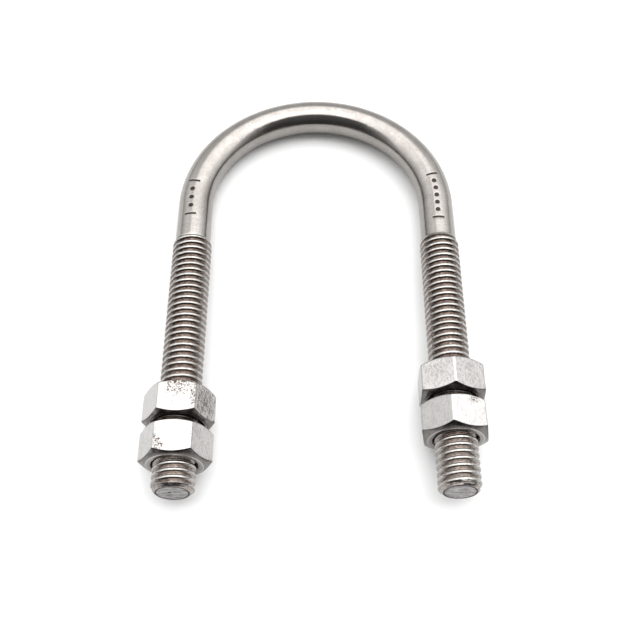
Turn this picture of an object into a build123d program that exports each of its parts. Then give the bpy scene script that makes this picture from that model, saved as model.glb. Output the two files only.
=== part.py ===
"""A 3/8-16 stainless U-bolt for 1-1/2 inch pipe, with two hex nuts on each leg.

The U lies in the XY plane. The origin is the centre of the bend, +Y points from the legs
towards the bend, +X points from the left leg to the right leg and +Z is the axis of the
pipe in the bend. Lengths are in millimetres and angles in degrees.
"""
from build123d import *
from math import ceil, cos, radians, tan
import os

INCH = 25.4

# The bar: 2-3/8 inch between the legs, with 2-9/16 inch of rolled 3/8-16 thread on each.
leg_spacing = 2.375 * INCH
leg_length = 76.6
thread_length = 2.5625 * INCH
pitch = INCH / 16
shank_radius = 4.2
crest_radius = 4.725
root_radius = 3.83
crest_width = pitch / 8
crest_crown = 0.05
flank_angle = 30.0
runout_length = 1.6

# The thread's ridge is sunk a little into the leg's core, so that the two join soundly.
ridge_sunk = 0.12

# How far each leg's thread is turned about the leg.
left_thread_turn = 93.0
right_thread_turn = 263.0

# The nuts: standard 3/8 inch hex nuts, with bores that run clear of the thread's crests.
nut_sides = 6
nut_flats = 14.0
nut_height = 8.33
nut_corner_radius = 0.5
nut_face_radius = 6.15
nut_chamfer_angle = 30.0
nut_bore_radius = 4.78
nut_mouth_radius = 5.25

bend_radius = leg_spacing / 2
left_x = -bend_radius
right_x = bend_radius
thread_start = leg_length - thread_length

# Each nut: its leg, how far its middle stands from the bend's centre, and its turn. At no
# turn a nut has a flat on top and a corner out to each side.
nuts = {
    "left_inner_nut": (left_x, 57.15, -1.8),
    "left_outer_nut": (left_x, 66.40, -0.7),
    "right_inner_nut": (right_x, 51.45, 30.8),
    "right_outer_nut": (right_x, 60.65, 39.0),
}

# The thread's ridge, on a leg along the Y axis: 30 degree flanks and a rounded crest, swept
# one turn at a time, then cut back by a cone at the shoulder and one at the leg's point.
ridge_height = crest_radius - root_radius
flank_end = ridge_height - crest_crown
half_crest = crest_width / 2
half_base = half_crest + (ridge_height + ridge_sunk) * tan(radians(flank_angle))
ridge_turns = ceil(thread_length / pitch) + 2
ridge_top = pitch - thread_start
sunk_radius = root_radius - ridge_sunk
envelope_radius = crest_radius + ridge_sunk

with BuildPart() as ridge:
    with BuildLine():
        for turn in range(ridge_turns):
            turn_top = (0, ridge_top - turn * pitch, 0)
            last_turn = Helix(pitch, pitch, root_radius, center=turn_top, direction=(0, -1, 0))
    with BuildSketch(Plane(origin=last_turn @ 1, x_dir=(0, 0, -1), z_dir=last_turn % 1)):
        with BuildLine():
            Line((flank_end, -half_crest), (-ridge_sunk, -half_base))
            Line((-ridge_sunk, -half_base), (-ridge_sunk, half_base))
            Line((-ridge_sunk, half_base), (flank_end, half_crest))
            ThreePointArc((flank_end, half_crest), (ridge_height, 0), (flank_end, -half_crest))
        make_face()
    sweep(is_frenet=True)
    with BuildSketch():
        with BuildLine():
            Polyline(
                (0, -thread_start),
                (sunk_radius, -thread_start),
                (envelope_radius, -thread_start - runout_length),
                (envelope_radius, -leg_length + envelope_radius - sunk_radius),
                (sunk_radius, -leg_length),
                (0, -leg_length),
                close=True,
            )
        make_face()
    revolve(axis=Axis.Y, mode=Mode.INTERSECT)

# A threaded leg: its core narrows from the shoulder to the root of the thread.
with BuildPart() as threaded_leg:
    with BuildSketch():
        with BuildLine():
            Polyline(
                (0, -thread_start),
                (shank_radius, -thread_start),
                (root_radius, -thread_start - runout_length),
                (root_radius, -leg_length),
                (0, -leg_length),
                close=True,
            )
        make_face()
    revolve(axis=Axis.Y)
    add(ridge.part)

# The bent bar: one sweep for the bend and its shoulders, with a threaded leg on each side.
with BuildPart() as u_rod:
    with BuildLine():
        left_shoulder = Line((left_x, -thread_start), (left_x, 0))
        ThreePointArc(left_shoulder @ 1, (0, bend_radius), (right_x, 0))
        Line((right_x, 0), (right_x, -thread_start))
    with BuildSketch(Plane(origin=left_shoulder @ 0, z_dir=left_shoulder % 0)):
        Circle(shank_radius)
    sweep()
    left_leg = Location((left_x, 0, 0), (0, left_thread_turn, 0))
    right_leg = Location((right_x, 0, 0), (0, right_thread_turn, 0))
    with Locations(left_leg, right_leg):
        add(threaded_leg.part)

os.makedirs("parts", exist_ok=True)
u_rod.part.label = "u_rod"
export_step(u_rod.part, "parts/u_rod.step")

# The nuts: a hexagon with rounded corners, cut by a cone at each end and bored through, with
# a countersunk mouth at each end of the bore.
corner_reach = nut_flats / 2 / cos(radians(180 / nut_sides))
corner_drop = (corner_reach - nut_face_radius) * tan(radians(nut_chamfer_angle))

for name, (leg_x, middle, turn) in nuts.items():
    end_centre = (leg_x, -middle - nut_height / 2, 0)
    end_face = Plane(origin=end_centre, x_dir=(1, 0, 0), z_dir=(0, 1, 0))
    with BuildPart() as nut:
        with BuildSketch(end_face) as hexagon:
            RegularPolygon(nut_flats / 2, nut_sides, major_radius=False, rotation=-turn)
            fillet(hexagon.vertices(), nut_corner_radius)
        extrude(amount=nut_height)
        with BuildSketch(Plane(origin=end_centre)):
            with BuildLine():
                Polyline(
                    (0, 0),
                    (nut_face_radius, 0),
                    (corner_reach, corner_drop),
                    (corner_reach, nut_height - corner_drop),
                    (nut_face_radius, nut_height),
                    (0, nut_height),
                    close=True,
                )
            make_face()
        revolve(axis=Axis(end_centre, (0, 1, 0)), mode=Mode.INTERSECT)
        with BuildSketch(end_face):
            Circle(nut_bore_radius)
        extrude(amount=nut_height, mode=Mode.SUBTRACT)
        mouths = nut.edges().filter_by(GeomType.CIRCLE).group_by(SortBy.RADIUS)[0]
        chamfer(mouths, nut_mouth_radius - nut_bore_radius)
    nut.part.label = name
    export_step(nut.part, f"parts/{name}.step")
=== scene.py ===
import math

import bmesh
import bpy
import numpy as np
from mathutils import Matrix, Vector, noise


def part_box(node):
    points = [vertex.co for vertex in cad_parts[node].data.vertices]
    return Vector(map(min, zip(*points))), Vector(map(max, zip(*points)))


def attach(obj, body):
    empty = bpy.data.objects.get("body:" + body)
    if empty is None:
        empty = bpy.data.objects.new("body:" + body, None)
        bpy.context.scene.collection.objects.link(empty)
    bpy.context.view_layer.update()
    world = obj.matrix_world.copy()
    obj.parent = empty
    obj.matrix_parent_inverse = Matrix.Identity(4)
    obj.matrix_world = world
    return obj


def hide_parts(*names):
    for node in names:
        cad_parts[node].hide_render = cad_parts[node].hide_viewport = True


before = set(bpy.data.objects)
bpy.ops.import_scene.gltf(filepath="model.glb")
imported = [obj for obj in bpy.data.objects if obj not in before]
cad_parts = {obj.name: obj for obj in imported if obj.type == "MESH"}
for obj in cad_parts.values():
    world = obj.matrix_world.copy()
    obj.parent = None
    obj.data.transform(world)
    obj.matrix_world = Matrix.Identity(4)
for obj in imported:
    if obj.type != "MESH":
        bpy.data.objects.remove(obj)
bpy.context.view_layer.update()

# A millimetre in metres, an inch in millimetres, and how near in metres two points are one.
MM = 0.001
INCH = 25.4
MERGE_DISTANCE = 2e-7

# The legs: side of the U, and how far its thread is turned, in degrees.
LEFT, RIGHT = -1, 1
THREAD_TURN = {LEFT: 93.0, RIGHT: 263.0}

# The bar's thread, in millimetres: 3/8-16, rolled, 2-9/16 inch on each leg. Its mesh has
# extra turns, which are clamped to the thread's two ends, and so has a nut's.
PITCH = INCH / 16
THREAD_LENGTH = 2.5625 * INCH
CREST_RADIUS = 4.725
ROOT_RADIUS = 3.83
THREAD_DEPTH = CREST_RADIUS - ROOT_RADIUS
SHANK_RADIUS = 4.2
RUNOUT = 1.3
EXTRA_TURNS = 7

# The thread's section from root to crest: share of the pitch, and how deep of the full depth.
ROOT_TO_CREST = (
    (0.0, 1.0),
    (0.035, 0.97),
    (0.075, 0.86),
    (0.275, 0.15),
    (0.335, 0.08),
    (0.405, 0.025),
)

# Wear on the rolled crests: an even loss, a slow wave and nicks, with the waves and nicks
# per millimetre and the height of the noise that starts a nick.
CREST_LOSS = 0.015
CREST_WAVE, WAVES_PER_MM = 0.015, 0.7
CREST_NICK, NICKS_PER_MM, NICK_START = 0.12, 2.6, 0.3

# The leg's point: a short cone with an uneven edge. The last crest is folded over it as a
# lip, whose foot, rise and end are each a height, a place and a length.
POINT_RADIUS = 3.78
POINT_SLOPE = 1.15
POINT_UNEVEN, UNEVEN_PER_MM = 0.06, 1.3
LIP_FOOT = (0.12, 0.0, 0.15)
LIP_RISE = (0.68, 0.36, 0.2)
LIP_END = (1.2, 0.9, 0.35)

# Stain and painted shade in the threads' grooves, heavier on the upper side as painted shade, and
# less near the leg's end.
STAIN_SHADE_EVEN, STAIN_SHADE_UP = 0.35, 0.9
CLEAN_LENGTH, CLEAN_FADE, CLEAN_SHARE = 13.0, 4.0, 0.8

# The leg's flat end: rings as shares of the radius, how hollow and how uneven it is, the painted
# shade in its rim, and its centre mark: place across and up, radius and depth; the mark is
# darkened as painted shade.
END_RINGS = (1.0, 0.97, 0.9, 0.8, 0.7, 0.6, 0.5, 0.42, 0.34, 0.27, 0.2, 0.14, 0.08)
END_HOLLOW = 0.04
END_UNEVEN, END_UNEVEN_PER_MM = 0.02, 1.2
RIM_START, RIM_SHADE = 0.88, 0.7
END_MARKS = {LEFT: (-0.55, 0.25, 0.5, 0.25), RIGHT: (0.1, -0.2, 0.7, 0.12)}

# Points round the bar: close together near the top, where the marks are, wider elsewhere.
FINE_ANGLE = 36
FINE_POINTS = 14
COARSE_POINTS = 38

# Rings along the bend, closer together through the marks, in millimetres.
BEND_RINGS = 221
MARK_RING_STEP = 0.15
MARK_MARGIN = 0.5
MARK_GAP = 0.3

# Waves left by bending and a finer unevenness, each a depth and its waves per millimetre,
# and an even loss.
BEND_WAVE = (0.012, 0.22)
BEND_SKIN = (0.003, 1.1)
BEND_LOSS = 0.01

# The etched marks on each shoulder: plain dots between two short bars. Spacing of the dots,
# their number, place along the bar from the tangent point, and angle out from the top.
MARK_ROWS = {LEFT: (2.6, 3, 0.3, 9.0), RIGHT: (2.3, 5, -0.1, -1.5)}
DOT_RADIUS = 0.62
BAR_HALF_WIDTH = 0.26
BAR_HALF_LENGTH = 1.5
MARK_DEPTH = 0.05
MARK_SOFTNESS = 0.2

# Handling nicks: place along the bar from the bend's crown, angle out from the top, radius
# and depth, in millimetres and degrees.
NICKS = (
    (-18.4, -40, 0.5, 0.09),
    (-6.2, -42, 0.35, 0.04),
    (-7.9, -38, 0.35, 0.04),
    (-11.1, -32, 0.3, 0.03),
    (15.4, -34, 0.4, 0.05),
    (16.6, -24, 0.35, 0.04),
    (34.1, -24, 0.3, 0.04),
)

# The nuts, in millimetres and degrees.
NUT_FLATS = 14.0
NUT_CORNER_RADIUS = 0.5
NUT_FACE_RADIUS = 6.15
NUT_FACE_EDGE = 0.12
NUT_CHAMFER_ANGLE = 30
NUT_CHAMFER = math.tan(math.radians(NUT_CHAMFER_ANGLE))
NUT_MOUTH_RADIUS = 5.25
NUT_MOUTH_SLOPE = 1.3
NUT_MINOR_RADIUS = 4.02
NUT_THREAD_GAP = 0.09
NUT_EXTRA_TURNS = 4
NUT_EDGE = 0.26
NUT_EDGE_SHARE = 0.45
NUT_UNDER_EDGE = 0.2
NUT_TURNS = {
    "left_inner_nut": -1.8,
    "left_outer_nut": -0.7,
    "right_inner_nut": 30.8,
    "right_outer_nut": 39.0,
}

# A nut's columns, in degrees from a corner: round the corner, and across the flat after it.
# Its rows on a flat: shares of the height between the chamfers.
CORNER_COLUMNS = [-2.6, -1.8, -1.2, -0.6, 0.0, 0.6, 1.2, 1.8, 2.6]
FLAT_COLUMNS = list(np.linspace(5.0, 55.0, 15))
FLAT_ROWS = np.linspace(0.14, 0.86, 13)

# Painted shade on the nuts: where two of them meet, on open faces, in mouths and chamfers,
# and what is added on chamfers that face up, where the sine of a column's angle is past a
# start. Round the edge of the flats: shares of the edge's arc, and the painted shade there.
MET_SHADE, OPEN_SHADE = 0.85, 0.1
HOLLOW_SHADE, TOP_SHADE = 0.6, 0.4
TOP_START, TOP_FADE = 0.6, 0.3
EDGE_SHADE = ((0.0, 0.9), (0.2, 1.0), (0.4, 1.0), (0.6, 1.0), (0.8, 0.8), (1.0, 0.15))

# The bore is darkened with painted shade from its mouths inwards: how dark it starts, and how soon
# it is full.
BORE_START, BORE_FADE = 0.3, 0.15

# Roughness and pits start on the chamfer, at a share of the way out from the face.
FLAT_START, FLAT_FADE = 0.56, 0.4

# Rough flats: how rough, by the flat's number round the nut, fading out at the corners.
ROUGH_FADE = 0.12
ROUGH_FLATS = {
    "left_inner_nut": {0: 1.0},
    "left_outer_nut": {0: 0.3, 2: 0.25},
    "right_inner_nut": {1: 0.4, 0: 0.35},
    "right_outer_nut": {1: 0.15, 0: 0.3},
}

# Pitted spots: flat, place across it towards the next flat and along it towards the bend
# (both -1 to 1), half sizes across and along, and how pitted. A spot fades out a little past
# its half sizes, and every flat is evenly pitted a little.
SPOT_REACH = 1.2
EVEN_PITS = 0.12
PITTED_SPOTS = {
    "left_inner_nut": (
        (0, 0.0, 0.0, 1.6, 1.6, 0.9),
        (1, 0.0, 0.85, 1.3, 0.9, 0.8),
        (1, -0.95, 0.0, 0.3, 1.4, 0.7),
        (1, 0.0, -0.1, 1.6, 1.4, 0.6),
    ),
    "left_outer_nut": (
        (1, 0.7, -0.5, 0.5, 0.55, 1.15),
        (1, 0.95, 0.2, 0.25, 0.8, 0.9),
        (1, -0.2, 0.85, 1.0, 0.3, 0.7),
        (1, -0.95, 0.0, 0.2, 1.2, 0.7),
        (0, 0.5, 0.4, 0.6, 0.5, 0.6),
    ),
    "right_inner_nut": ((1, 0.0, 0.2, 1.2, 0.8, 0.65), (0, -0.2, 0.1, 0.8, 0.8, 0.5)),
    "right_outer_nut": ((0, -0.3, 0.65, 0.5, 0.3, 1.2), (0, -0.1, -0.6, 0.6, 0.3, 0.6)),
}

# Seeds of the meshes' noises; the side of the leg is added where there is one.
SEEDS = {"wave": 3, "nick": 9, "point": 21, "end": 31, "bend": 41, "skin": 43}

# Values kept at the points of the bar and of a nut, for their materials to read.
BAR_VALUES = ("groove", "thread", "grime", "etch", "end")
NUT_VALUES = ("groove", "rough", "pitted", "edge", "turned")

# Colours of the steels, linear.
BAR_DULL = (0.385, 0.36, 0.338, 1)
BAR_CLEAN = (0.44, 0.418, 0.398, 1)
BAR_GRAIN = (0.22, 0.20, 0.185, 1)
# Worn crests lightened further: a painted highlight.
CREST_HIGHLIGHT = (0.66, 0.635, 0.61, 1)
LIGHT_STAIN = (0.52, 0.45, 0.41, 1)
DARK_STAIN = (0.14, 0.108, 0.095, 1)
# A near-black painted shade in the thread's grooves, along both flanks under the crests.
FLANK_SHADE = (0.055, 0.04, 0.034, 1)
END_STEEL = (0.47, 0.455, 0.46, 1)
END_SCORE = (0.16, 0.152, 0.155, 1)
# Etched marks; also the painted shade on the legs' end rims and centre marks.
ETCHED_AND_SHADE = (0.03, 0.022, 0.02, 1)
NUT_DULL = (0.595, 0.58, 0.566, 1)
NUT_CLEAN = (0.655, 0.64, 0.625, 1)
NUT_GRAIN = (0.34, 0.32, 0.3, 1)
NUT_TORN = (0.17, 0.15, 0.14, 1)
NUT_TURNED = (0.36, 0.34, 0.325, 1)
NUT_FLECK = (0.22, 0.18, 0.155, 1)
NUT_PIT = (0.07, 0.05, 0.042, 1)
# Painted shade on the nuts' chamfers, mouths, edges and where nuts meet.
NUT_SHADE = (0.045, 0.037, 0.035, 1)
# Painted shade deep in the nuts' bores.
NUT_BORE_SHADE = (0.045, 0.036, 0.033, 1)

# The camera: place in millimetres, tilt down and turn in degrees, and lens.
CAMERA_PLACE = (0.45, -151.37, 187.67)
CAMERA_DOWN = 57.98
CAMERA_TURN = -0.23
CAMERA_LENS = 53.45
SENSOR_WIDTH = 36.0

# Finding the surface that the object rests on: passes, and where the bend's part of the bar
# starts, in metres.
RESTING_PASSES = 6
BEND_FROM = 0.02


def box_mm(node):
    """Lowest and highest corner of a CAD node, in millimetres."""
    low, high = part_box(node)
    return Vector(low) / MM, Vector(high) / MM


rod_low, rod_high = box_mm("u_rod")
LEG_X = rod_high.x - CREST_RADIUS
LEG_END = rod_low.y
THREAD_TOP = LEG_END + THREAD_LENGTH


def ring_angles():
    """Angles of the points round the bar, from the top outwards and all the way round."""
    fine = np.arange(FINE_POINTS) * FINE_ANGLE / FINE_POINTS
    coarse = FINE_ANGLE + np.arange(COARSE_POINTS + 1) * (360 - 2 * FINE_ANGLE) / COARSE_POINTS
    return np.radians(np.concatenate([fine, coarse, 360 - fine[:0:-1]]))


RING = ring_angles()
RING_POINTS = len(RING)


def smooth(x):
    """0 below 0, 1 above 1 and an easy curve between."""
    x = np.clip(x, 0.0, 1.0)
    return x * x * (3.0 - 2.0 * x)


def eased(x, height, start, length):
    """Rises from 0 to a height over a length, from a start."""
    return height * smooth((x - start) / length)


def ripple(points, scale, seed):
    """Smooth noise between about -1 and 1 at each point."""
    shift = Vector((seed * 17.3, seed * 5.1, seed * 29.7))
    return np.array([noise.noise(Vector(p) * scale + shift) for p in points])


# ---------------------------------------------------------------- meshes


def thread_section():
    """One pitch of the thread from root to root: shares of the pitch and radii."""
    rise = list(ROOT_TO_CREST)
    fall = [(1.0 - share, depth) for share, depth in reversed(rise) if share > 0]
    section = rise + [(0.5, 0.0)] + fall
    shares = np.array([share for share, depth in section])
    depths = np.array([depth for share, depth in section])
    return shares, CREST_RADIUS - depths * THREAD_DEPTH


def thread_rows(turns):
    """Rows of a helical grid over some turns: how far down each one is, and its radius."""
    shares, radii = thread_section()
    drop = (np.repeat(np.arange(turns), len(shares)) + np.tile(shares, turns)) * PITCH
    return drop, np.tile(radii, turns), len(shares)


def crest_place(side, angle):
    """Where the crest passes a direction, angle being turned from -Z towards +X."""
    return THREAD_TOP - PITCH * (math.radians(THREAD_TURN[side]) + angle) / math.tau


class Surface:
    """Points and faces of one piece, in millimetres, with values kept at each point."""

    def __init__(self, *values):
        self.points = []
        self.straight = []
        self.values = {name: [] for name in values}
        self.faces = []

    def add(self, points, straight=None, **values):
        """Adds points and returns the number of the first one."""
        points = points.reshape(-1, 3)
        straight = points if straight is None else straight.reshape(-1, 3)
        first = len(self.points)
        self.points.extend(map(tuple, points))
        self.straight.extend(map(tuple, straight))
        for name, kept in self.values.items():
            kept.extend(np.broadcast_to(values.get(name, 0.0), len(points)))
        return first

    def ribbon(self, before, after, count):
        """Joins two closed rings of points with quads."""
        for col in range(count):
            ahead = (col + 1) % count
            self.faces.append([before + col, before + ahead, after + ahead, after + col])

    def helix(self, first, row_range, count, shift):
        """Joins a helical grid, whose last column meets its first one some rows further on."""
        def index(row, col):
            return first + (row + shift * (col // count)) * count + col % count

        for row in row_range:
            for col in range(count):
                before = [index(row, col), index(row, col + 1)]
                after = [index(row + 1, col + 1), index(row + 1, col)]
                if len({self.points[corner][1] for corner in before + after}) > 1:
                    self.faces.append(before + after)

    def piece(self, name):
        """The finished mesh object, with doubled points merged."""
        mesh = bpy.data.meshes.new(name)
        mesh.from_pydata([tuple(c * MM for c in p) for p in self.points], [], self.faces)
        straight = mesh.attributes.new("straight", "FLOAT_VECTOR", "POINT")
        straight.data.foreach_set("vector", np.array(self.straight, dtype=np.float32).ravel())
        for key, kept in self.values.items():
            value = mesh.attributes.new(key, "FLOAT", "POINT")
            value.data.foreach_set("value", np.array(kept, dtype=np.float32))
        work = bmesh.new()
        work.from_mesh(mesh)
        bmesh.ops.remove_doubles(work, verts=work.verts, dist=MERGE_DISTANCE)
        bmesh.ops.dissolve_degenerate(work, edges=work.edges, dist=MERGE_DISTANCE)
        bmesh.ops.recalc_face_normals(work, faces=work.faces)
        work.to_mesh(mesh)
        work.free()
        mesh.shade_smooth()
        made = bpy.data.objects.new(name, mesh)
        bpy.context.scene.collection.objects.link(made)
        return made


def rod_points(side, along, radius, angle):
    """Points of a straight leg: along its length, at a radius and an angle from +Z outwards."""
    x = side * (LEG_X + radius * np.sin(angle))
    return np.stack([x, along, radius * np.cos(angle)], -1)


def unbent(place, radius, angle):
    """The same points on the bar before it was bent, place being the distance along it."""
    return np.stack([radius * np.sin(angle), place, radius * np.cos(angle)], -1)


def folded_lip(side, angle):
    """How much of the last crest is folded over the end: nearly even, or torn on the left."""
    outward = (angle + math.pi) % math.tau - math.pi
    if side == RIGHT:
        return smooth(2.2 - 1.6 * np.abs(outward)) * (0.85 + 0.15 * np.cos(5.0 * outward))
    torn = 0.75 + 0.25 * np.cos(9.0 * outward + 0.6)
    return smooth(2.0 - 1.4 * np.abs(outward - 0.25)) * torn * smooth(1.2 + 1.6 * outward)


def worn_crests(side, skin, along, radius, full):
    """The radii with dents and waves in the crests, none at either end of the thread."""
    wave = ripple(skin, WAVES_PER_MM, SEEDS["wave"] + side).reshape(along.shape)
    nick = ripple(skin, NICKS_PER_MM, SEEDS["nick"] + side).reshape(along.shape)
    high = np.clip((radius - ROOT_RADIUS) / THREAD_DEPTH, 0, 1) * full
    inside = smooth((along - LEG_END) / PITCH)
    wear = CREST_LOSS + CREST_WAVE * wave + CREST_NICK * np.clip(nick - NICK_START, 0, 1)
    return radius - wear * high * inside


def worn_point(side, skin, along, radius, angle):
    """The radii cut to an uneven cone, with the last crest folded over it on top."""
    past = along - LEG_END
    uneven = ripple(skin, UNEVEN_PER_MM, SEEDS["point"] + side).reshape(along.shape)
    uneven = POINT_UNEVEN * uneven
    cone = POINT_RADIUS + past * (POINT_SLOPE + 2 * uneven)
    lip = POINT_RADIUS + eased(past, *LIP_FOOT) + eased(past - uneven, *LIP_RISE)
    lip -= eased(past - uneven, *LIP_END)
    radius = np.minimum(radius, cone)
    return radius + np.maximum(lip - radius, 0) * folded_lip(side, angle)


def add_leg(surface, side, reach):
    """One threaded leg: a helical grid, clamped to the shoulder and to the leg's end."""
    drop, radii, per_turn = thread_rows(math.ceil(THREAD_LENGTH / PITCH) + EXTRA_TURNS)
    top = crest_place(side, math.pi) + PITCH / 2
    top += PITCH * (math.ceil((THREAD_TOP - top) / PITCH) + 2)
    along = top - drop[:, None] + side * PITCH * RING[None, :] / math.tau
    along = np.clip(along, LEG_END, THREAD_TOP)
    angle = np.broadcast_to(RING, along.shape)
    full = smooth((THREAD_TOP - along) / RUNOUT)
    radius = SHANK_RADIUS + (radii[:, None] - SHANK_RADIUS) * full
    skin = rod_points(side, along, radius, angle).reshape(-1, 3)
    radius = worn_crests(side, skin, along, radius, full)
    radius = worn_point(side, skin, along, radius, angle)
    groove = np.clip((CREST_RADIUS - radius) / THREAD_DEPTH, 0, 1) * full
    clean = CLEAN_SHARE * smooth((CLEAN_LENGTH - (along - LEG_END)) / CLEAN_FADE)
    # Stain and painted shade: heavier towards the top of the leg, lighter near its end.
    grime = smooth(STAIN_SHADE_EVEN + STAIN_SHADE_UP * np.cos(angle)) * (1 - clean)
    first = surface.add(
        rod_points(side, along, radius, angle),
        unbent(side * (reach - along), radius, angle),
        groove=groove.ravel(),
        thread=full.ravel(),
        grime=grime.ravel(),
    )
    rows = range(per_turn, len(drop) - per_turn - 1)
    surface.helix(first, rows, RING_POINTS, -side * per_turn)


def add_end(surface, side, reach):
    """The flat end of a leg, slightly hollow, with a centre mark, and painted shade in its rim and
    mark.
    """
    mark_x, mark_z, mark_radius, mark_depth = END_MARKS[side]
    previous = None
    for ring in END_RINGS:
        radius = np.full(RING_POINTS, POINT_RADIUS * ring)
        along = np.full(RING_POINTS, LEG_END)
        points = rod_points(side, along, radius, RING)
        # Painted shade in the rim.
        shade = np.full(RING_POINTS, RIM_SHADE if ring > RIM_START else 0.0)
        if ring < 1.0:
            off = np.hypot(points[:, 0] - side * LEG_X - mark_x, points[:, 2] - mark_z)
            points[:, 1] += END_HOLLOW * (1 - ring) + mark_depth * smooth(1 - off / mark_radius)
            uneven = ripple(points, END_UNEVEN_PER_MM, SEEDS["end"] + side)
            points[:, 1] += END_UNEVEN * uneven
            # Painted shade in the centre mark.
            in_mark = smooth(1.6 - 1.7 * off / mark_radius)
            shade = np.maximum(shade, in_mark * min(1.0, 4 * mark_depth))
        straight = unbent(side * (reach - along), radius, RING)
        first = surface.add(points, straight, end=1.0, etch=shade)
        if previous is not None:
            surface.ribbon(previous, first, RING_POINTS)
        previous = first
    surface.faces.append([previous + col for col in range(RING_POINTS)])


def etched(side, u, v):
    """How deep the marks are at a place: u along the bar, v across it, in millimetres."""
    spacing, dots, _, _ = MARK_ROWS[side]
    nearest = np.clip(np.round(u / spacing + (dots - 1) / 2), 0, dots - 1) - (dots - 1) / 2
    dot = DOT_RADIUS - np.hypot(u - nearest * spacing, v)
    end = (dots + 1) / 2 * spacing
    bar = np.minimum(BAR_HALF_WIDTH - np.abs(np.abs(u) - end), BAR_HALF_LENGTH - np.abs(v))
    return smooth(0.5 + np.maximum(dot, bar) / MARK_SOFTNESS)


def bend_places(length, centres):
    """Places of the rings along the plain bar, closer together through the marks."""
    places = [np.linspace(-length, length, BEND_RINGS)]
    for side, centre in centres.items():
        spacing, dots, _, _ = MARK_ROWS[side]
        half = (dots + 1) / 2 * spacing + MARK_MARGIN
        places[0] = places[0][np.abs(places[0] - centre) > half + MARK_GAP]
        places.append(np.arange(centre - half, centre + half, MARK_RING_STEP))
    return np.sort(np.concatenate(places))


def bend_radius(place, across, mark, calm):
    """Radii of one ring of the plain bar: etched, a little wavy, and nicked."""
    skin = unbent(np.full(RING_POINTS, place), SHANK_RADIUS, RING)
    wave = BEND_WAVE[0] * ripple(skin, BEND_WAVE[1], SEEDS["bend"])
    fine = BEND_SKIN[0] * ripple(skin, BEND_SKIN[1], SEEDS["skin"])
    radius = SHANK_RADIUS - MARK_DEPTH * mark
    radius = radius + calm * (wave + fine - BEND_LOSS)
    for where, angle, size, depth in NICKS:
        off = np.hypot(place - where, (across - math.radians(angle)) * SHANK_RADIUS)
        radius = radius - depth * smooth(1 - off / size)
    return radius, skin


def add_bend(surface, reach):
    """The plain bar from one thread to the other: shoulder, half circle, shoulder."""
    length = reach - THREAD_TOP
    centres = {side: side * (reach + row[2]) for side, row in MARK_ROWS.items()}
    across = (RING + math.pi) % math.tau - math.pi
    previous = None
    for place in bend_places(length, centres):
        turn = np.clip(place / LEG_X, -math.pi / 2, math.pi / 2)
        straight_part = max(abs(place) - reach, 0.0)
        outward = np.array([math.sin(turn), math.cos(turn), 0.0])
        middle = LEG_X * outward - np.array([0.0, straight_part, 0.0])
        side = LEFT if place < 0 else RIGHT
        off_row = (across - math.radians(MARK_ROWS[side][3])) * SHANK_RADIUS
        mark = etched(side, place - centres[side], off_row)
        calm = smooth((length - abs(place)) / 2)
        radius, skin = bend_radius(place, across, mark, calm)
        ring = (
            middle[None, :]
            + (radius * np.sin(RING))[:, None] * outward[None, :]
            + (radius * np.cos(RING))[:, None] * np.array([[0.0, 0.0, 1.0]])
        )
        first = surface.add(ring, skin, etch=mark)
        if previous is not None:
            surface.ribbon(previous, first, RING_POINTS)
        previous = first


def make_rod():
    """The whole bent and threaded bar as one closed surface."""
    surface = Surface(*BAR_VALUES)
    reach = LEG_X * math.pi / 2
    add_bend(surface, reach)
    for side in (LEFT, RIGHT):
        add_leg(surface, side, reach)
    for side in (LEFT, RIGHT):
        add_end(surface, side, reach)
    return surface.piece("bent_bar")


def hexagon_reach(angle):
    """How far a rounded hexagon reaches at an angle from one of its corners, in radians."""
    sixth = math.tau / 6
    off = abs((angle + sixth / 2) % sixth - sixth / 2)
    centre = (NUT_FLATS / 2 - NUT_CORNER_RADIUS) / math.cos(sixth / 2)
    tangent = math.atan2(
        NUT_CORNER_RADIUS * math.sin(sixth / 2),
        centre + NUT_CORNER_RADIUS * math.cos(sixth / 2),
    )
    if off > tangent:
        return NUT_FLATS / 2 / math.cos(sixth / 2 - off)
    return centre * math.cos(off) + math.sqrt(NUT_CORNER_RADIUS**2 - (centre * math.sin(off)) ** 2)


def nut_columns(turn):
    """Angles of the nut's columns from +X towards +Z, close together at each corner."""
    steps = CORNER_COLUMNS + FLAT_COLUMNS
    return np.radians([turn + 60 * side + step for side in range(6) for step in steps])


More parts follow.
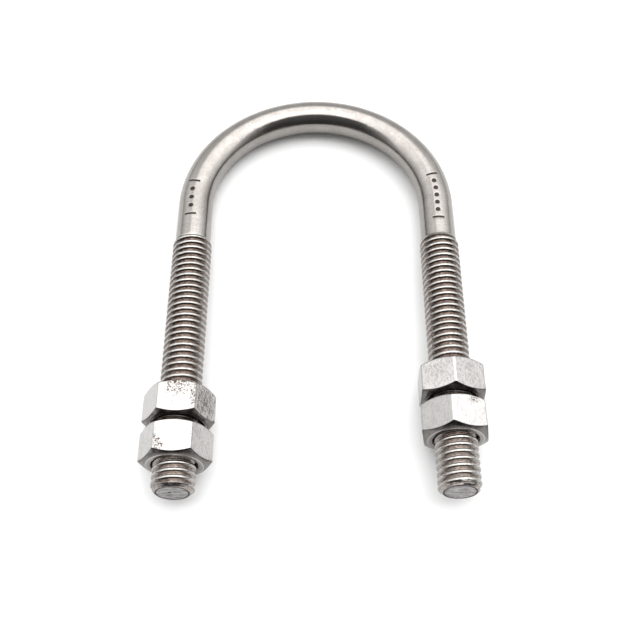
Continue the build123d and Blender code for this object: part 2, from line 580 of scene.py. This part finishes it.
def nut_profile(reach, painted_shade, topmost):
    """Rings of one end of a nut: radii at each column, depths below the face, and painted shade.

    No shade at all means a ring worn bright, which is also a painted highlight; topmost is 1 on
    the columns that face up.
    """
    face = np.full_like(reach, NUT_FACE_RADIUS)
    mouth = np.full_like(reach, NUT_MOUTH_RADIUS)
    flush = np.zeros_like(reach)
    drop = (reach - face) * NUT_CHAMFER
    edge = np.minimum(NUT_EDGE, (reach - face) * NUT_EDGE_SHARE)
    hollow = max(HOLLOW_SHADE, painted_shade)
    rings = [(mouth, flush, hollow), (mouth + NUT_FACE_EDGE, flush, painted_shade)]
    rings.append(((mouth + face) / 2, flush, painted_shade))
    # The worn edge between the face and the chamfer: painted shade at either side, and a middle
    # worn bright that also serves as a painted highlight.
    for across, shade in ((-1.0, painted_shade), (-0.5, 0.0), (0.5, 0.0), (1.0, hollow)):
        depth = (1 + across) / 2 * NUT_FACE_EDGE * NUT_CHAMFER
        rings.append((face + across * NUT_FACE_EDGE, flush + depth, shade))
    # The chamfer's middle: painted shade, darker on the columns that face up.
    rings.append(((face + reach) / 2, drop / 2, HOLLOW_SHADE + TOP_SHADE * topmost))
    # The edge between the chamfer and the flats is an arc that ends upright, with a dark line of
    # painted shade along it.
    for share, shade in EDGE_SHADE:
        turn = math.radians((90 - NUT_CHAMFER_ANGLE) * (1 - share))
        rings.append((
            reach - edge * (1 - math.cos(turn)),
            drop + edge * (NUT_CHAMFER - math.sin(turn)),
            shade,
        ))
    rings.append((reach, drop + edge + NUT_UNDER_EDGE, 0.0))
    return rings, drop


def flat_place(angles, turn):
    """The flat each column lies on, and its place across it from -1 to 1."""
    steps = (np.degrees(angles) - turn) % 360 / 60
    flats = np.floor(steps + 1e-9).astype(int)
    across = np.tan(np.radians((steps - flats) * 60 - 30)) / math.tan(math.radians(30))
    return flats, across


def worn_values(node, angles, turn, upward):
    """Roughness and pitting at each column, upward being the place along the nut, -1 to 1."""
    flats, across = flat_place(angles, turn)
    rough = np.zeros(len(angles))
    pitted = np.full(len(angles), EVEN_PITS)
    for flat, roughness in ROUGH_FLATS[node].items():
        rough += np.where(flats == flat, roughness * smooth((1 - np.abs(across)) / ROUGH_FADE), 0)
    for flat, u, v, half_u, half_v, amount in PITTED_SPOTS[node]:
        off = np.hypot((across - u) / half_u, (upward - v) / half_v)
        pitted += np.where(flats == flat, amount * smooth(SPOT_REACH - off), 0)
    return rough, pitted


def nut_points(side, radius, along, angles):
    """Points round a leg's axis, at angles from +X towards +Z."""
    x = side * LEG_X + radius * np.cos(angles)
    return np.stack([x, along, radius * np.sin(angles)], -1)


def make_nut(node, turn):
    """A double-chamfered hex nut with countersunk mouths and its own internal thread."""
    low, high = box_mm(node)
    side = LEFT if low.x < 0 else RIGHT
    angles = nut_columns(turn)
    reach = np.array([hexagon_reach(a - math.radians(turn)) for a in angles])
    height = high.y - low.y
    topmost = smooth((np.sin(angles) - TOP_START) / TOP_FADE)
    # The ends where two nuts meet carry heavy painted shade.
    lower, drop = nut_profile(reach, MET_SHADE if "inner" in node else OPEN_SHADE, topmost)
    upper, drop = nut_profile(reach, MET_SHADE if "outer" in node else OPEN_SHADE, topmost)
    flats = [(reach, drop + (height - 2 * drop) * share, 0.0) for share in FLAT_ROWS]
    rings = [(r, low.y + d, shade) for r, d, shade in lower + flats]
    rings += [(r, high.y - d, shade) for r, d, shade in reversed(upper)]
    surface = Surface(*NUT_VALUES)
    previous = None
    for radius, along, shade in rings:
        upward = 2 * (along - low.y) / height - 1
        rough, pitted = worn_values(node, angles, turn, upward)
        out = (radius - NUT_FACE_RADIUS) / (reach - NUT_FACE_RADIUS)
        on_flat = smooth((out - FLAT_START) / FLAT_FADE)
        first = surface.add(
            nut_points(side, radius, along, angles),
            rough=rough * on_flat,
            pitted=pitted * on_flat,
            edge=shade,
            turned=(1 - on_flat) * np.sign(shade),
        )
        if previous is not None:
            surface.ribbon(previous, first, len(angles))
        previous = first
    add_nut_thread(surface, side, angles, low.y, high.y)
    return surface.piece(node.replace("_nut", "_hex_nut"))


def add_nut_thread(surface, side, angles, low, high):
    """The bore of a nut: a helical grid that opens into a cone at each mouth."""
    drop, radii, per_turn = thread_rows(math.ceil((high - low) / PITCH) + NUT_EXTRA_TURNS)
    lag = (angles - angles[0]) / math.tau
    top = crest_place(side, angles[0] + math.pi / 2) + PITCH / 2
    top -= PITCH * (math.floor((top - high) / PITCH) - 1)
    along = np.clip(top - drop[:, None] - PITCH * lag[None, :], low, high)
    radius = np.broadcast_to(radii[:, None], along.shape) + NUT_THREAD_GAP
    radius = np.maximum(radius, NUT_MINOR_RADIUS)
    depth = np.minimum(high - along, along - low)
    radius = np.maximum(radius, NUT_MOUTH_RADIUS - NUT_MOUTH_SLOPE * depth)
    points = nut_points(side, radius, along, angles)
    # The bore's painted shade, kept in groove: part dark at each mouth and full a little way in.
    first = surface.add(points, groove=smooth(BORE_START + depth / BORE_FADE).ravel())
    surface.helix(first, range(len(drop) - per_turn - 1), len(angles), per_turn)


# ---------------------------------------------------------------- materials


class Nodes:
    """Builds one node tree: place returns the node that it adds, the rest return an output."""

    def __init__(self, tree):
        self.tree = tree
        tree.nodes.clear()

    def place(self, kind, inputs=None, **settings):
        """Adds a node of a kind, sets it up and joins its inputs."""
        node = self.tree.nodes.new(kind)
        for key, value in settings.items():
            setattr(node, key, value)
        for key, value in (inputs or {}).items():
            if isinstance(value, bpy.types.NodeSocket):
                self.tree.links.new(value, node.inputs[key])
            else:
                node.inputs[key].default_value = value
        return node

    def add(self, kind, output=0, inputs=None, **settings):
        """Adds a node and returns one of its outputs."""
        return self.place(kind, inputs, **settings).outputs[output]

    def attribute(self, name, output="Fac"):
        """A value kept at the mesh's points."""
        return self.add("ShaderNodeAttribute", output=output, attribute_name=name)

    def math(self, operation, a, b=0.0):
        return self.add("ShaderNodeMath", inputs={0: a, 1: b}, operation=operation)

    def plus(self, a, b):
        return self.math("ADD", a, b)

    def times(self, a, b):
        return self.math("MULTIPLY", a, b)

    def ramp(self, value, low, high, out_low=0.0, out_high=1.0, kind="LINEAR"):
        """Goes evenly from out_low to out_high as value goes from low to high."""
        names = {"Value": value, "From Min": low, "From Max": high}
        names.update({"To Min": out_low, "To Max": out_high})
        return self.add("ShaderNodeMapRange", inputs=names, interpolation_type=kind)

    def step(self, value, low, high, out_low=0.0, out_high=1.0):
        """Eases from out_low to out_high as value goes from low to high."""
        return self.ramp(value, low, high, out_low, out_high, kind="SMOOTHSTEP")

    def blend(self, factor, a, b):
        """Mixes two numbers."""
        return self.add("ShaderNodeMix", inputs={0: factor, 2: a, 3: b}, data_type="FLOAT")

    def mix(self, factor, a, b):
        """Mixes two colours."""
        names = {0: factor, 6: a, 7: b}
        return self.add("ShaderNodeMix", output=2, inputs=names, data_type="RGBA")

    def turn(self, factor, a, b):
        """Mixes two normals."""
        names = {0: factor, 4: a, 5: b}
        return self.add("ShaderNodeMix", output=1, inputs=names, data_type="VECTOR")

    def noise(self, place, scale, stretch=(1, 1, 1), detail=3.0, rough=0.5):
        place = self.add("ShaderNodeMapping", inputs={"Vector": place, "Scale": stretch})
        names = {"Vector": place, "Scale": scale, "Detail": detail, "Roughness": rough}
        return self.add("ShaderNodeTexNoise", inputs=names)

    def bump(self, height, strength, distance, normal=None):
        names = {"Height": height, "Strength": strength, "Distance": distance}
        if normal is not None:
            names["Normal"] = normal
        return self.add("ShaderNodeBump", inputs=names)


def metal(name):
    """A new material and its node builder."""
    material = bpy.data.materials.new(name)
    material.use_nodes = True
    return material, Nodes(material.node_tree)


def finish_metal(nodes, colour, roughness, normal):
    """Joins colour, roughness and normal to a metallic surface."""
    shader = nodes.add(
        "ShaderNodeBsdfPrincipled",
        inputs={"Base Color": colour, "Metallic": 1.0, "Roughness": roughness, "Normal": normal},
    )
    nodes.place("ShaderNodeOutputMaterial", {"Surface": shader})


def thread_colour(nodes, colour, values, turned):
    """Worn crests lightened as a painted highlight, brown stained grooves, and a near-black
    painted shade line under each crest.
    """
    groove, grime = values["groove"], values["grime"]
    # A painted highlight on the threads, kept off the grooves by the stain that follows.
    bright = nodes.times(values["thread"], nodes.step(turned, 0.35, 0.62, 0.75, 0.1))
    colour = nodes.mix(bright, colour, CREST_HIGHLIGHT)
    stained = nodes.mix(nodes.step(turned, 0.38, 0.62, 0.0, 0.85), LIGHT_STAIN, DARK_STAIN)
    deep = nodes.times(nodes.step(groove, 0.14, 0.45), nodes.ramp(grime, 0.0, 1.0, 0.5, 1.0))
    colour = nodes.mix(deep, colour, stained)
    # Painted shade on the flanks under each crest, heavier on the upper side.
    flank = nodes.times(nodes.step(groove, 0.12, 0.2), nodes.step(groove, 0.32, 0.6, 0.8, 0.0))
    flank = nodes.times(flank, nodes.ramp(grime, 0.0, 1.0, 0.35, 1.0))
    return nodes.mix(flank, colour, FLANK_SHADE)


def bar_colour(nodes, place, values, grain, turned, scratch):
    """Grey steel with dark grain, coloured threads, scored ends, etched marks, and painted shade
    on the ends' rims and centre marks.
    """
    cloud = nodes.noise(place, 0.25, detail=5.0, rough=0.65)
    colour = nodes.mix(nodes.step(cloud, 0.35, 0.7), BAR_DULL, BAR_CLEAN)
    colour = nodes.mix(nodes.step(grain, 0.48, 0.7, 0.0, 0.6), colour, BAR_GRAIN)
    colour = thread_colour(nodes, colour, values, turned)
    scuffed = nodes.times(values["end"], nodes.step(turned, 0.35, 0.6, 0.5, 1.0))
    colour = nodes.mix(scuffed, colour, END_STEEL)
    scored = nodes.times(values["end"], nodes.step(scratch, 0.42, 0.6, 0.0, 0.9))
    colour = nodes.mix(scored, colour, END_SCORE)
    # Etched marks, and painted shade at the ends' rims and centre marks.
    return nodes.mix(nodes.step(values["etch"], 0.3, 0.7, 0.0, 0.95), colour, ETCHED_AND_SHADE)


def bar_relief(nodes, place, values, brushed, grain, turned, scratch):
    """Brushed and drawn lines, torn threads, fine grain and scored ends."""
    drawn = nodes.noise(place, 1.0, (3.0, 0.15, 3.0), detail=3.0)
    normal = nodes.bump(brushed, 0.40, 0.03 * MM)
    normal = nodes.bump(drawn, 0.10, 0.03 * MM, normal)
    threaded = nodes.bump(turned, 0.45, 0.08 * MM, normal)
    normal = nodes.turn(nodes.step(values["groove"], 0.02, 0.2), normal, threaded)
    normal = nodes.bump(grain, 0.32, 0.03 * MM, normal)
    return nodes.bump(nodes.times(values["end"], scratch), 0.6, 0.1 * MM, normal)


def bar_steel():
    """Drawn and bent stainless bar: cross-brushed, with brownish thread grooves."""
    material, nodes = metal("bar_steel")
    place = nodes.attribute("straight", "Vector")
    values = {name: nodes.attribute(name) for name in BAR_VALUES}
    brushed = nodes.noise(place, 1.0, (0.7, 2.6, 0.7), detail=5.0, rough=0.7)
    grain = nodes.noise(place, 3.2, detail=4.0, rough=0.75)
    turned = nodes.noise(place, 1.0, (1.6, 2.6, 1.6), detail=5.0, rough=0.78)
    scratch = nodes.noise(place, 1.0, (0.5, 1.0, 1.7), detail=3.0, rough=0.65)
    roughness = nodes.step(brushed, 0.3, 0.75, 0.11, 0.2)
    roughness = nodes.plus(roughness, nodes.step(values["groove"], 0.0, 1.0, 0.0, 0.08))
    dull = nodes.times(nodes.plus(values["etch"], values["end"]), 0.15)
    finish_metal(
        nodes,
        bar_colour(nodes, place, values, grain, turned, scratch),
        nodes.plus(roughness, dull),
        bar_relief(nodes, place, values, brushed, grain, turned, scratch),
    )
    return material


def pits_and_flecks(nodes, place, pitted, cloud):
    """Where the nuts' pits are, and their smaller flecks, which have no depth."""
    speck = nodes.noise(place, 3.2, detail=3.0, rough=0.7)
    limit = nodes.step(pitted, 0.0, 1.3, 0.80, 0.50)
    limit = nodes.math("SUBTRACT", limit, nodes.step(cloud, 0.3, 0.7, -0.04, 0.04))
    pits = nodes.step(nodes.math("SUBTRACT", speck, limit), 0.0, 0.04)
    fleck = nodes.noise(place, 6.5, (1.0, 1.4, 1.0), detail=2.0)
    fleck = nodes.plus(fleck, nodes.ramp(pitted, 0.0, 1.0, -0.12, 0.05))
    return pits, nodes.step(fleck, 0.57, 0.63, 0.0, 0.8)


def nut_steel():
    """Machined stainless nut: fine grained flats, some pitted, some left rough, with painted shade
    in its bore, mouths and chamfers and where nuts meet.
    """
    material, nodes = metal("nut_steel")
    place = nodes.attribute("straight", "Vector")
    values = {name: nodes.attribute(name) for name in NUT_VALUES}
    cloud = nodes.noise(place, 0.45, detail=4.0, rough=0.65)
    grain = nodes.noise(place, 1.0, (3.0, 1.4, 3.0), detail=4.0, rough=0.75)
    torn = nodes.noise(place, 1.7, (1.0, 0.6, 1.5), detail=4.0, rough=0.7)
    pits, flecks = pits_and_flecks(nodes, place, values["pitted"], cloud)
    scuffed = nodes.times(values["rough"], nodes.step(torn, 0.47, 0.6))
    # Painted shade, broken up a little by the cloud.
    painted_shade = nodes.times(values["edge"], nodes.step(cloud, 0.3, 0.6, 0.7, 1.0))
    colour = nodes.mix(nodes.step(cloud, 0.3, 0.7), NUT_DULL, NUT_CLEAN)
    for amount, other in (
        (nodes.step(grain, 0.48, 0.75, 0.0, 0.35), NUT_GRAIN),
        (nodes.times(scuffed, 0.9), NUT_TORN),
        (nodes.times(values["turned"], 0.75), NUT_TURNED),
        (flecks, NUT_FLECK),
        (pits, NUT_PIT),
        # Painted shade, then the bore's painted shade.
        (painted_shade, NUT_SHADE),
        (values["groove"], NUT_BORE_SHADE),
    ):
        colour = nodes.mix(amount, colour, other)
    roughness = nodes.step(grain, 0.3, 0.75, 0.14, 0.24)
    roughness = nodes.plus(roughness, nodes.times(scuffed, 0.15))
    normal = nodes.bump(grain, 0.2, 0.04 * MM)
    normal = nodes.bump(nodes.times(torn, values["rough"]), 0.6, 0.1 * MM, normal)
    normal = nodes.bump(pits, -0.5, 0.06 * MM, normal)
    finish_metal(nodes, colour, roughness, normal)
    return material


def pale_floor():
    """A plain white table with a faint gloss, a little greyer in reflections than it looks."""
    material, nodes = metal("pale_floor")
    seen = nodes.add("ShaderNodeLightPath", output="Is Camera Ray")
    white = nodes.mix(seen, (0.73, 0.73, 0.73, 1), (0.97, 0.97, 0.97, 1))
    shader = nodes.add(
        "ShaderNodeBsdfPrincipled",
        inputs={"Base Color": white, "Roughness": 0.4, "Specular IOR Level": 0.3},
    )
    nodes.place("ShaderNodeOutputMaterial", {"Surface": shader})
    return material


# ---------------------------------------------------------------- stage


def resting_plane(pieces):
    """A point and the upward normal of the flat surface that the object rests on."""
    groups = []
    for piece, wanted in pieces:
        points = np.empty(len(piece.data.vertices) * 3)
        piece.data.vertices.foreach_get("co", points)
        points = points.reshape(-1, 3)
        groups.append(points[wanted(points)])
    normal = np.array([0.0, 0.0, 1.0])
    for _ in range(RESTING_PASSES):
        feet = [group[(group @ normal).argmin()] for group in groups]
        normal = np.cross(feet[1] - feet[0], feet[2] - feet[0])
        normal *= math.copysign(1.0, normal[2]) / np.linalg.norm(normal)
    return Vector(feet[0]), Vector(normal)


def make_floor(point, normal):
    """The table top: it ends a little way in front of the object and goes far back."""
    front, back, half = -0.24, 3.0, 0.35
    mesh = bpy.data.meshes.new("floor")
    corners = [(-half, front, 0), (half, front, 0), (half, back, 0), (-half, back, 0)]
    mesh.from_pydata(corners, [], [(0, 1, 2, 3)])
    made = bpy.data.objects.new("floor", mesh)
    bpy.context.scene.collection.objects.link(made)
    rise = Vector((0, 0, 1)).rotation_difference(normal).to_matrix().to_4x4()
    level = Matrix.Translation(-Vector((point.x, point.y, 0)))
    made.matrix_world = Matrix.Translation(point) @ rise @ level
    mesh.materials.append(pale_floor())


def area_light(name, x_range, y_range, height, radiance):
    """A flat panel facing down, spread over the given ranges, in metres."""
    data = bpy.data.lights.new(name, "AREA")
    data.shape = "RECTANGLE"
    data.size = x_range[1] - x_range[0]
    data.size_y = y_range[1] - y_range[0]
    data.energy = radiance * math.pi * data.size * data.size_y
    made = bpy.data.objects.new(name, data)
    made.location = (sum(x_range) / 2, sum(y_range) / 2, height)
    made.visible_camera = False
    bpy.context.scene.collection.objects.link(made)
    return made


def make_panel():
    """The bright middle of the soft light overhead."""
    height, radiance = 1.5, 0.4
    x_range = (-0.3 * height, 0.4 * height)
    y_range = (-0.25 * height, 0.15 * height)
    area_light("panel", x_range, y_range, height, radiance)


def make_fill():
    """A soft light from the front that lifts the shadows and stays out of reflections."""
    height, radiance, tilt = 0.85, 1.7, 38
    fill = area_light("fill", (-0.25, 0.25), (-0.95, -0.45), height, radiance)
    fill.rotation_euler.x = math.radians(tilt)
    fill.visible_glossy = False


def side_walls(nodes, z, level_x):
    """The tent's sides: brighter upwards, and a little brighter on the right."""
    risen = nodes.times(nodes.math("MAXIMUM", z, 0.0), 2.2)
    risen = nodes.plus(risen, 0.38)
    return nodes.times(risen, nodes.plus(nodes.times(level_x, 0.11), 1.0))


def back_wall(nodes, right, back):
    """The tent's back: brighter upwards, with a lighter panel that has a clear left edge."""
    rise = nodes.math("SUBTRACT", nodes.times(right, 0.2), back)
    panel = nodes.times(nodes.step(back, 0.45, 0.65), nodes.step(back, 0.9, 1.1, 1.0, 0.0))
    panel = nodes.times(panel, nodes.step(right, -0.33, -0.25, -0.25, 0.25))
    return nodes.ramp(nodes.plus(rise, panel), -1.3, -0.3, 0.66, 2.5)


def make_tent():
    """A pale tent that brightens upwards, with a dark opening in front."""
    world = bpy.data.worlds.new("tent")
    world.use_nodes = True
    bpy.context.scene.world = world
    nodes = Nodes(world.node_tree)
    way = nodes.add("ShaderNodeTexCoord", output="Generated")
    x, y, z = nodes.place("ShaderNodeSeparateXYZ", {0: way}).outputs
    level = nodes.add("ShaderNodeCombineXYZ", inputs={0: x, 1: y})
    level = nodes.add("ShaderNodeVectorMath", inputs={0: level}, operation="NORMALIZE")
    level_x, level_y, _ = nodes.place("ShaderNodeSeparateXYZ", {0: level}).outputs
    # Where the direction meets a ceiling one unit up: to the right, and to the back.
    up = nodes.math("MAXIMUM", z, 0.05)
    right = nodes.math("DIVIDE", x, up)
    back = nodes.math("DIVIDE", y, up)
    sideways = nodes.step(nodes.math("ABSOLUTE", level_x), 0.2, 1.0)
    wall = nodes.blend(sideways, back_wall(nodes, right, back), side_walls(nodes, z, level_x))
    open_level = nodes.step(level_y, -0.75, 0.2)
    open_above = nodes.step(back, -0.46, -0.28)
    lit = nodes.math("MAXIMUM", open_level, open_above)
    dim = nodes.plus(nodes.times(nodes.times(up, up), 0.15), 0.05)
    glow = nodes.plus(nodes.times(wall, lit), dim)
    seen = nodes.add("ShaderNodeLightPath", output="Is Camera Ray")
    glow = nodes.blend(seen, glow, 1.0)
    light = nodes.add("ShaderNodeBackground", inputs={"Color": (1, 1, 1, 1), "Strength": glow})
    nodes.place("ShaderNodeOutputWorld", {"Surface": light})


def make_camera():
    """The camera, above the legs' ends and looking down along the U."""
    data = bpy.data.cameras.new("camera")
    data.sensor_width = SENSOR_WIDTH
    data.lens = CAMERA_LENS
    data.clip_start, data.clip_end = 0.01, 20.0
    made = bpy.data.objects.new("camera", data)
    made.location = Vector(CAMERA_PLACE) * MM
    made.rotation_euler = (math.radians(90 - CAMERA_DOWN), 0.0, math.radians(CAMERA_TURN))
    bpy.context.scene.collection.objects.link(made)
    bpy.context.scene.camera = made


# ---------------------------------------------------------------- the scene

bar = make_rod()
bar.data.materials.append(bar_steel())
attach(bar, "rod")
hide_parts("u_rod")

nut_material = nut_steel()
nuts = {}
for node, turn in NUT_TURNS.items():
    nuts[node] = make_nut(node, turn)
    nuts[node].data.materials.append(nut_material)
    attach(nuts[node], node)
    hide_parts(node)

make_camera()
make_panel()
make_fill()
make_tent()
# The object rests on the bend's crown and on the lowest corner of each leg's inner nut.
foot, up = resting_plane([
    (bar, lambda p: p[:, 1] > BEND_FROM),
    (nuts["left_inner_nut"], lambda p: p[:, 2] < 0),
    (nuts["right_inner_nut"], lambda p: p[:, 2] < 0),
])
make_floor(foot, up)

view = bpy.context.scene.view_settings
view.view_transform = "Standard"
